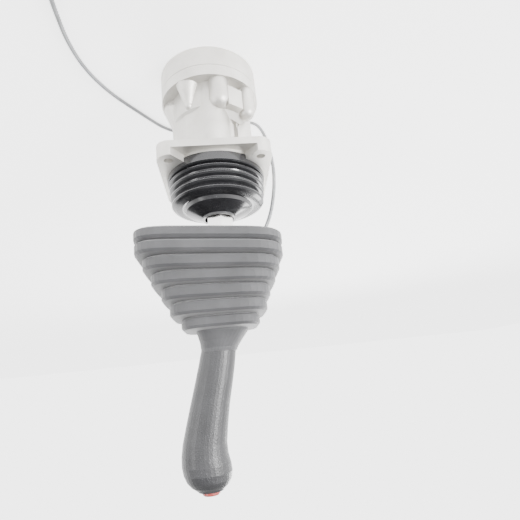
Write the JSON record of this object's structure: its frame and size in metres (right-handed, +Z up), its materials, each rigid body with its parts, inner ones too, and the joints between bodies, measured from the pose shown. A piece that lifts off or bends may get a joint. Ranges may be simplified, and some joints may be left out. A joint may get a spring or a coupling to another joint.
{
  "type": "hydraulic pilot control joystick",
  "caption": "Hydraulic pilot control joystick: cast valve block, square flange, inner bellows, hex stem, pleated boot and a leaning grip with a horn button.",
  "frame": {"origin": "centre of the port plate's underside, the surface it stands on", "axes": "+Z up the valve block along the lever at rest, +X the way the grip leans, -Y the front with the tapered boss"},
  "size_m": [0.1552, 0.2182, 0.3203],
  "materials": {
    "cast_aluminium": "bead-blasted cast",
    "machined_steel": "machined",
    "bright_steel": "bright plated",
    "black_oxide": "black oxide",
    "bronze": "machined bronze",
    "bellows_rubber": "glossy",
    "seal_rubber": "matte",
    "boot_rubber": "matte grained",
    "grip_plastic": "leather grained",
    "cap_plastic": "moulded",
    "switch_plastic": "moulded",
    "button_plastic": "moulded",
    "lead_sheath": "smooth",
    "terminal_brass": "crimped"
  },
  "bodies": {
    "block": {"valve_body": "cast_aluminium", "mounting_flange": "cast_aluminium", "port_plate": "cast_aluminium", "port_caps": "cap_plastic", "plate_o_rings": "seal_rubber", "plate_screws": "black_oxide", "locating_pin": "machined_steel", "retaining_plate": "machined_steel", "joint_base": "black_oxide", "guide_bushes": "bronze", "bush_seals": "seal_rubber", "inner_bellows": "bellows_rubber", "lead_loop": "lead_sheath", "lead_tail": "lead_sheath", "lead_coil": "lead_sheath", "lead_terminals": "terminal_brass", "return_spring_front": "machined_steel", "metering_spring_front": "machined_steel", "return_spring_right": "machined_steel", "metering_spring_right": "machined_steel", "return_spring_back": "machined_steel", "metering_spring_back": "machined_steel", "return_spring_left": "machined_steel", "metering_spring_left": "machined_steel"},
    "cross": {"joint_cross": "machined_steel"},
    "lever": {"joint_fork": "black_oxide", "swash_disc": "machined_steel", "lock_nut": "machined_steel", "hex_stem": "bright_steel", "tube_socket": "black_oxide", "lever_tube": "machined_steel", "outer_boot": "boot_rubber", "grip": "grip_plastic", "grip_screw": "bright_steel", "button_bezel": "black_oxide", "horn_switch": "switch_plastic", "switch_lead": "lead_sheath", "lead_grommet": "seal_rubber", "button_spring": "machined_steel"},
    "button": {"horn_button": "button_plastic"},
    "plunger_front": {"rod_front": "machined_steel", "spring_seat_front": "black_oxide", "spool_front": "machined_steel"},
    "plunger_right": {"rod_right": "machined_steel", "spring_seat_right": "black_oxide", "spool_right": "machined_steel"},
    "plunger_back": {"rod_back": "machined_steel", "spring_seat_back": "black_oxide", "spool_back": "machined_steel"},
    "plunger_left": {"rod_left": "machined_steel", "spring_seat_left": "black_oxide", "spool_left": "machined_steel"}
  },
  "joints": [
    {"name": "tilt_x", "type": "hinge", "parent": "block", "child": "cross", "pos_m": [0, 0, 0.101], "axis": [1, 0, 0], "range_deg": [-19, 19], "stiffness_Nm_per_rad": 8, "deforming": ["inner_bellows", "lead_loop"]},
    {"name": "tilt_y", "type": "hinge", "parent": "cross", "child": "lever", "pos_m": [0, 0, 0.101], "axis": [0, 1, 0], "range_deg": [-19, 19], "stiffness_Nm_per_rad": 8, "deforming": ["inner_bellows", "lead_loop"]},
    {"name": "press_button", "type": "slide", "parent": "lever", "child": "button", "axis": [0, 0, -1], "range_m": [0, 0.0022], "stiffness_N_per_m": 900, "deforming": ["button_spring"]},
    {"name": "slide_front", "type": "slide", "parent": "block", "child": "plunger_front", "axis": [0, 0, 1], "range_m": [-0.0062, 0.0062], "stiffness_N_per_m": 1500, "deforming": ["return_spring_front", "metering_spring_front"]},
    {"name": "slide_right", "type": "slide", "parent": "block", "child": "plunger_right", "axis": [0, 0, 1], "range_m": [-0.0062, 0.0062], "stiffness_N_per_m": 1500, "deforming": ["return_spring_right", "metering_spring_right"]},
    {"name": "slide_back", "type": "slide", "parent": "block", "child": "plunger_back", "axis": [0, 0, 1], "range_m": [-0.0062, 0.0062], "stiffness_N_per_m": 1500, "deforming": ["return_spring_back", "metering_spring_back"]},
    {"name": "slide_left", "type": "slide", "parent": "block", "child": "plunger_left", "axis": [0, 0, 1], "range_m": [-0.0062, 0.0062], "stiffness_N_per_m": 1500, "deforming": ["return_spring_left", "metering_spring_left"]}
  ],
  "couplings": [
    {"joint": "slide_right", "follows": "tilt_y", "m_per_rad": -0.0183},
    {"joint": "slide_left", "follows": "tilt_y", "m_per_rad": 0.0183},
    {"joint": "slide_back", "follows": "tilt_x", "m_per_rad": 0.0183},
    {"joint": "slide_front", "follows": "tilt_x", "m_per_rad": -0.0183}
  ]
}
